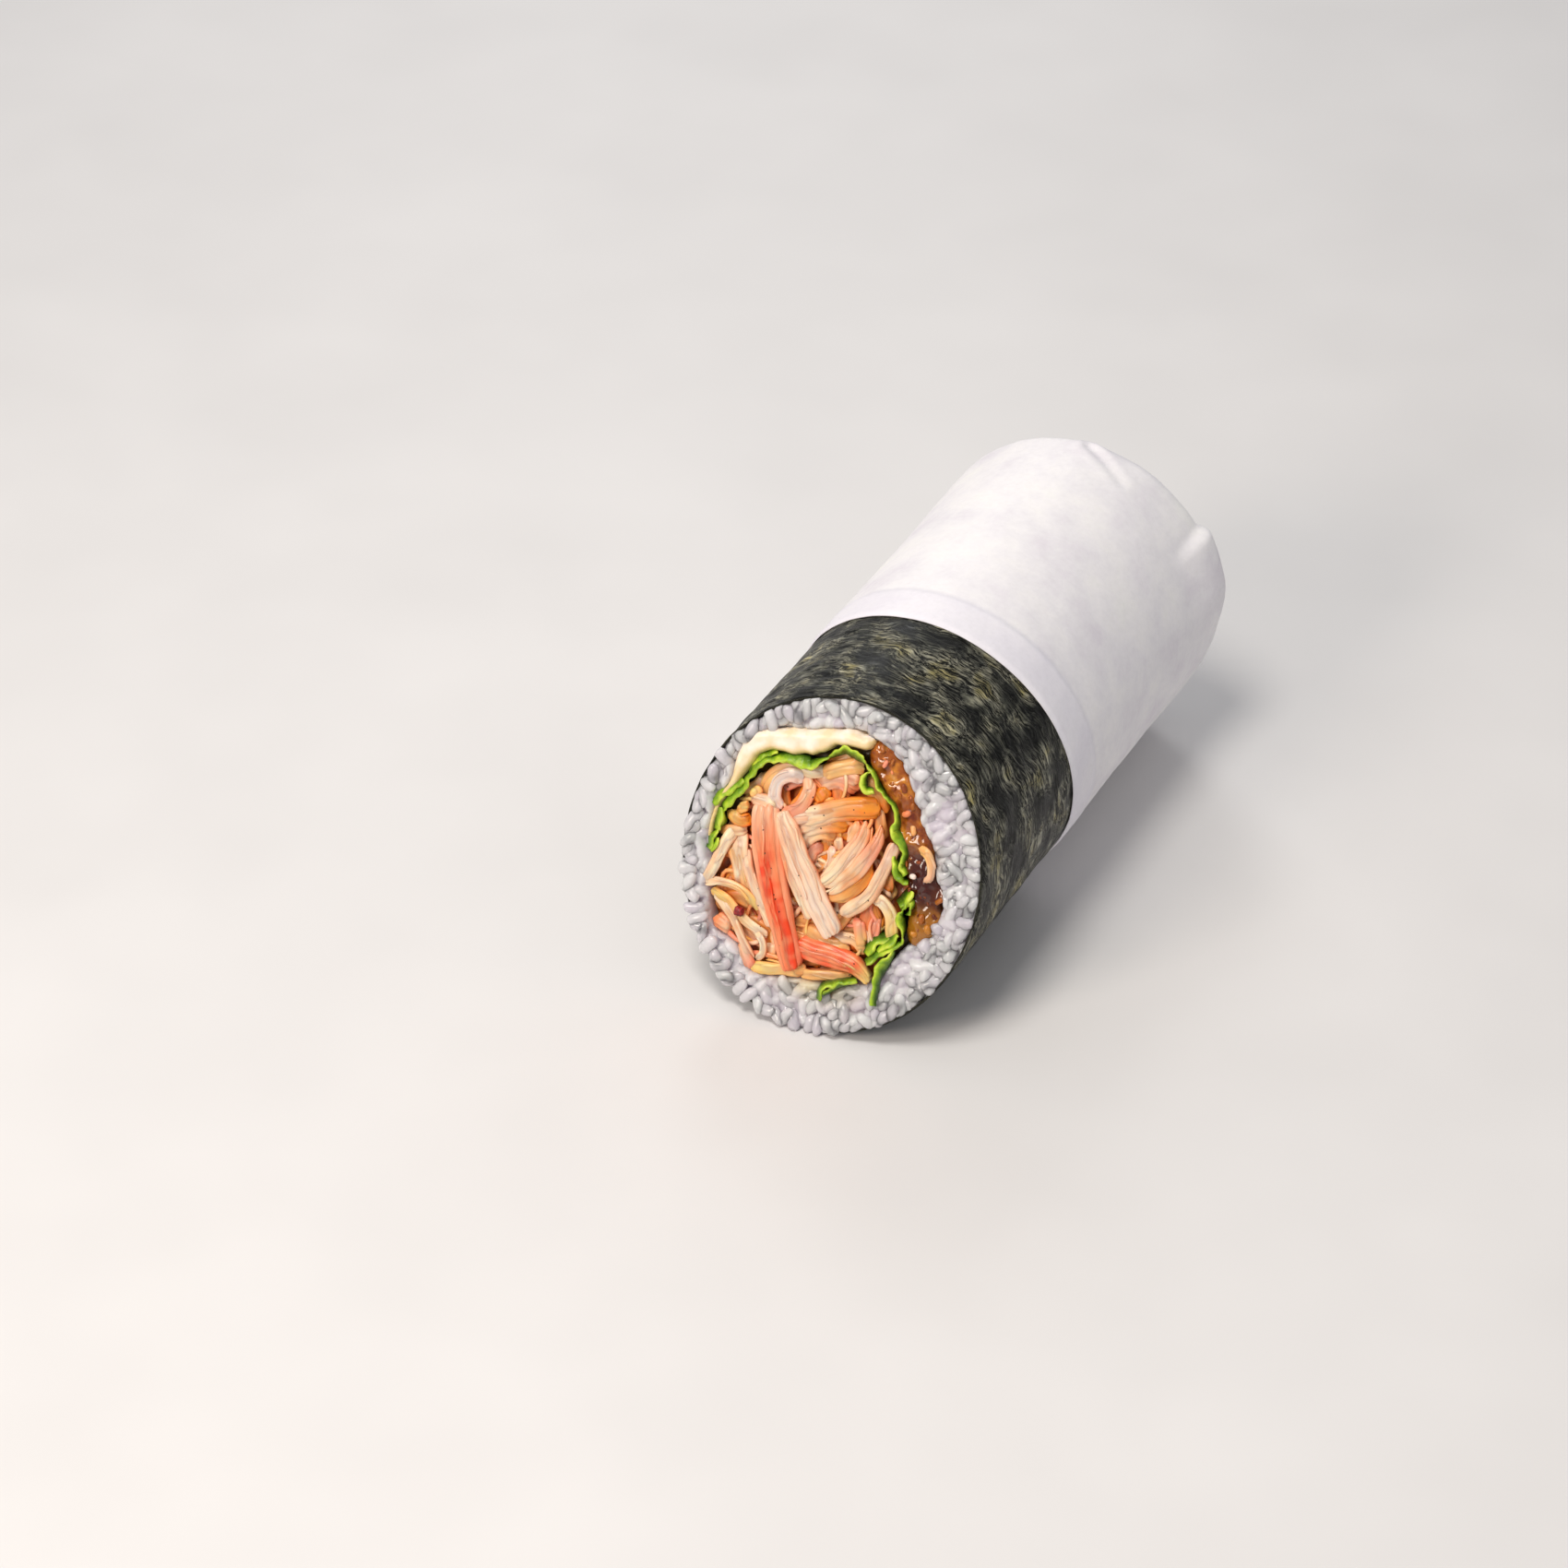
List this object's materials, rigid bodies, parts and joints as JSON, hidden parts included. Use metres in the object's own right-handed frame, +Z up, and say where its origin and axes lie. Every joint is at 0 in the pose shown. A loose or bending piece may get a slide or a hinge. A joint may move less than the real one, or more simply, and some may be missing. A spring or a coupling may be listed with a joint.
{
  "type": "sushi burrito",
  "caption": "Hand-held sushi roll cut on the bias: seaweed round a rice ring filled with shredded crab, lettuce, mayonnaise and brown sauce, its back half in plain white paper.",
  "frame": {"origin": "middle of the footprint, on the surface that the burrito lies on", "axes": "+Y along the roll, from the cut end to the tucked paper end; +Z up; +X to the right for someone facing the cut"},
  "size_m": [0.073, 0.1474, 0.0714],
  "materials": {
    "nori": "dry roasted seaweed sheet, fibrous, faint sheen",
    "paper": "plain white food paper, matt",
    "rice": "moist cooked short-grain rice",
    "mayo": "mayonnaise, satin",
    "lettuce": "fresh lettuce leaf, satin",
    "sauce": "sticky brown sauce with chopped bits, glossy",
    "crab": "shredded crab stick in a little mayonnaise, moist",
    "crab_red": "crab stick with its red skin, moist"
  },
  "bodies": {
    "root": {"paper_wrap": "paper", "nori": "nori", "rice": "rice", "mayo": "mayo", "lettuce_leaf": "lettuce", "lettuce_fold": "lettuce", "lettuce_shred": "lettuce", "brown_sauce": "sauce", "crab_shreds": "crab", "crab_stick_pale": "crab", "crab_stick_red": "crab_red", "crab_stick_orange": "crab_red", "crab_flake": "crab"}
  },
  "joints": []
}
